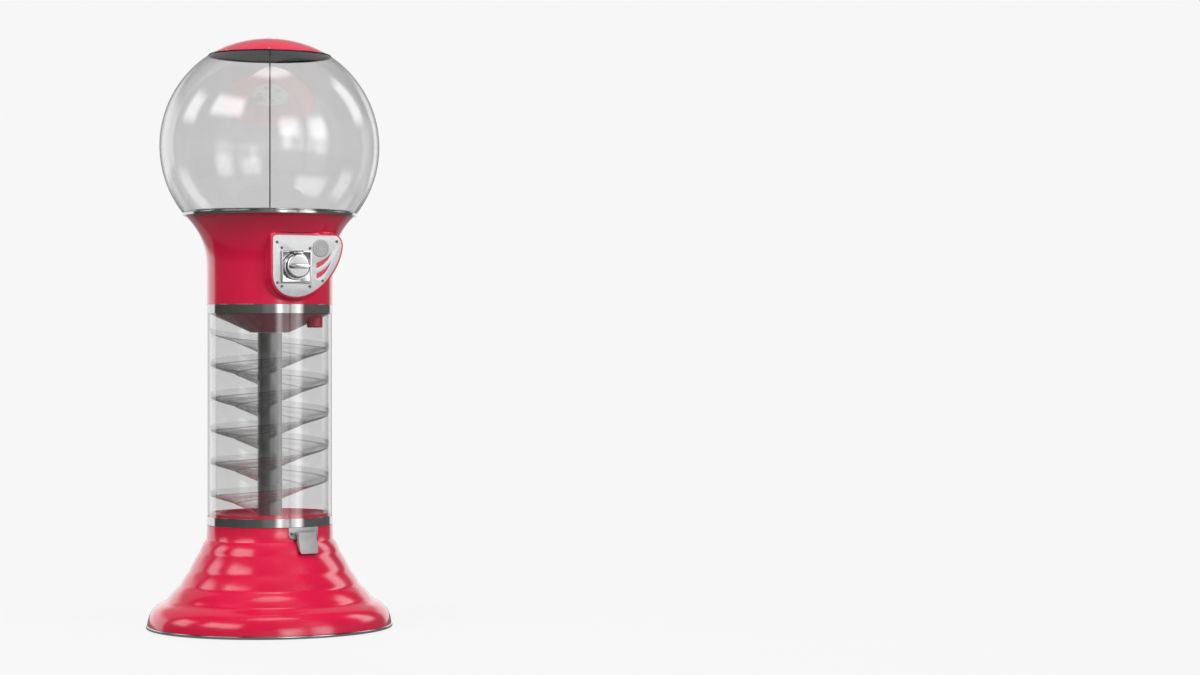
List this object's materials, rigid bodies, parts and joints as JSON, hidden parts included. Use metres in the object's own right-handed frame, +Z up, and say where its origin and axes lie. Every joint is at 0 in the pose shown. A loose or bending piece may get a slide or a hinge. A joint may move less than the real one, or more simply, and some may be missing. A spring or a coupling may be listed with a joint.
{
  "type": "gumball machine",
  "caption": "Free-standing spiral gumball machine: clear globe over a red hopper with a coin handle, a clear tube with a spiral ramp, and a flared base with a flap door.",
  "frame": {"origin": "on the floor under the column's axis", "axes": "+Z up; the coin mechanism faces -Y, +X is to the right of someone facing it"},
  "size_m": [0.596, 0.596, 1.4364],
  "materials": {
    "red_paint": "high gloss enamel",
    "chrome_plate": "polished chrome",
    "mirror_steel": "dark polished disc",
    "clear_ramp": "clear moulded plastic",
    "clear_tube": "clear plastic tube",
    "clear_globe": "clear moulded globe",
    "plate_aluminium": "mottled satin",
    "cast_aluminium": "satin",
    "white_plastic": "satin",
    "black_plastic": "satin",
    "black_rubber": "matt",
    "iron_plate": "as cast",
    "zinc_plate": "zinc plated",
    "brass": "turned",
    "brushed_post": "brushed",
    "steel_fastener": "plated"
  },
  "bodies": {
    "cabinet": {"base_deck": "red_paint", "base_plate": "iron_plate", "base_shell": "red_paint", "base_trim_ring": "chrome_plate", "cash_box": "zinc_plate", "center_post": "brushed_post", "center_rod": "brushed_post", "clear_tube": "clear_tube", "coin_bezel": "chrome_plate", "coin_housing": "zinc_plate", "door_frame": "cast_aluminium", "door_pin": "steel_fastener", "door_screw_1": "steel_fastener", "door_screw_2": "steel_fastener", "drop_funnel": "red_paint", "drop_tube": "white_plastic", "face_panel": "plate_aluminium", "globe": "clear_globe", "globe_ring": "chrome_plate", "hopper_floor": "zinc_plate", "hopper_shell": "red_paint", "hopper_tray": "red_paint", "housing_screw_1": "steel_fastener", "housing_screw_2": "steel_fastener", "housing_screw_3": "steel_fastener", "housing_screw_4": "steel_fastener", "lower_band": "chrome_plate", "panel_screw_1": "steel_fastener", "panel_screw_2": "steel_fastener", "panel_screw_3": "steel_fastener", "panel_screw_4": "steel_fastener", "pawl_pin": "steel_fastener", "price_badge": "plate_aluminium", "prize_chute": "cast_aluminium", "rod_nut": "steel_fastener", "rubber_foot_1": "black_rubber", "rubber_foot_2": "black_rubber", "rubber_foot_3": "black_rubber", "rubber_foot_4": "black_rubber", "spiral_ramp_1": "clear_ramp", "spiral_ramp_2": "clear_ramp", "spiral_ramp_3": "clear_ramp", "spiral_ramp_4": "clear_ramp", "spiral_ramp_5": "clear_ramp", "sweeper_brush": "black_plastic", "upper_band": "chrome_plate", "wheel_bush": "brass"},
    "handle": {"coin_handle": "chrome_plate", "coin_shaft": "steel_fastener", "ratchet_wheel": "steel_fastener", "drive_pinion": "brass"},
    "wheel": {"product_wheel": "white_plastic"},
    "pawl": {"ratchet_pawl": "steel_fastener"},
    "door": {"door_flap": "cast_aluminium"},
    "lid": {"lid_dome": "red_paint", "lid_liner": "mirror_steel", "lid_gasket": "black_rubber", "lock_barrel": "chrome_plate"},
    "lock": {"lock_plug": "brass"}
  },
  "joints": [
    {"name": "handle_turn", "type": "hinge", "parent": "cabinet", "child": "handle", "pos_m": [0, -0.13, 0.876], "axis": [0, 1, 0], "continuous": true},
    {"name": "wheel_turn", "type": "hinge", "parent": "cabinet", "child": "wheel", "pos_m": [0, 0, 0.9], "axis": [0, 0, 1], "continuous": true},
    {"name": "pawl_lift", "type": "hinge", "parent": "cabinet", "child": "pawl", "pos_m": [-0.024, -0.1427, 0.9024], "axis": [0, -1, 0], "range_deg": [0, 12], "stiffness_Nm_per_rad": 0.02, "springref_deg": -17.19},
    {"name": "door_swing", "type": "hinge", "parent": "cabinet", "child": "door", "pos_m": [0.0297, -0.16027, 0.2375], "axis": [-0.9833, -0.1822, 0], "range_deg": [0, 75]},
    {"name": "lid_lift", "type": "slide", "parent": "cabinet", "child": "lid", "axis": [0, 0, 1], "range_m": [0, 0.15]},
    {"name": "lock_turn", "type": "hinge", "parent": "lid", "child": "lock", "pos_m": [0, 0, 1.43], "axis": [0, 0, 1], "range_deg": [0, 90]}
  ],
  "couplings": [
    {"joint": "wheel_turn", "follows": "handle_turn", "ratio": 0.16667}
  ]
}
